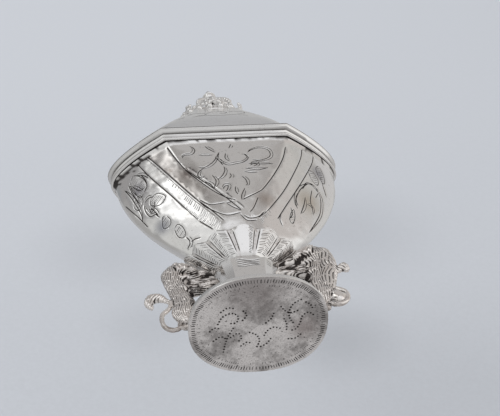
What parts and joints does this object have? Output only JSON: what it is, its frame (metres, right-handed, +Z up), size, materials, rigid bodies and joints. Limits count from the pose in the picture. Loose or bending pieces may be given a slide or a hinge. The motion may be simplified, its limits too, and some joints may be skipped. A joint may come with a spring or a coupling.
{
  "type": "vinaigrette",
  "caption": "Heart-shaped silver scent box on an oval foot with lion supporters, a hinged crowned lid and a pierced inner grille over a sponge.",
  "frame": {"origin": "centre of the foot's flat underside", "axes": "+Z up from the foot to the crown, -Y is the front, +X to the right seen from the front"},
  "size_m": [0.045, 0.0237, 0.0798],
  "materials": {
    "silver": "old silver, polished, with dark tarnish in the recesses",
    "cast_silver": "cast and chased silver, softer shine, dark in the hollows",
    "gilt": "gilt silver inside, warm satin",
    "sponge": "fine natural sponge, matt"
  },
  "bodies": {
    "root": {"foot_plate": "silver", "foot_wire": "silver", "stem": "silver", "calyx": "silver", "body_shell": "silver", "body_rim": "silver", "bezel": "gilt", "grille_ledge": "gilt", "lid_hinge_knuckle_left": "silver", "lid_hinge_knuckle_right": "silver", "lid_hinge_pin": "silver", "grille_hinge_knuckle_left": "gilt", "grille_hinge_knuckle_right": "gilt", "grille_hinge_pin": "gilt", "lion_left": "cast_silver", "lion_right": "cast_silver", "sponge": "sponge"},
    "lid": {"lid_rim": "silver", "lid_shell": "silver", "lid_hinge_knuckle_centre": "silver", "crown_plinth": "silver", "crown_circlet": "cast_silver", "crown_arches": "cast_silver", "crown_orb": "cast_silver"},
    "grille": {"grille_frame": "gilt", "grille_plate": "gilt", "grille_tab": "gilt", "grille_hinge_knuckle_centre": "gilt"}
  },
  "joints": [
    {"name": "lid_hinge", "type": "hinge", "parent": "root", "child": "lid", "pos_m": [0, 0.012, 0.0483], "axis": [-1, 0, 0], "range_deg": [0, 105]},
    {"name": "grille_hinge", "type": "hinge", "parent": "root", "child": "grille", "pos_m": [0, 0.00685, 0.04965], "axis": [-1, 0, 0], "range_deg": [0, 85]}
  ],
  "couplings": [
    {"joint": "grille_hinge", "follows": "lid_hinge", "ratio": 0.7}
  ]
}
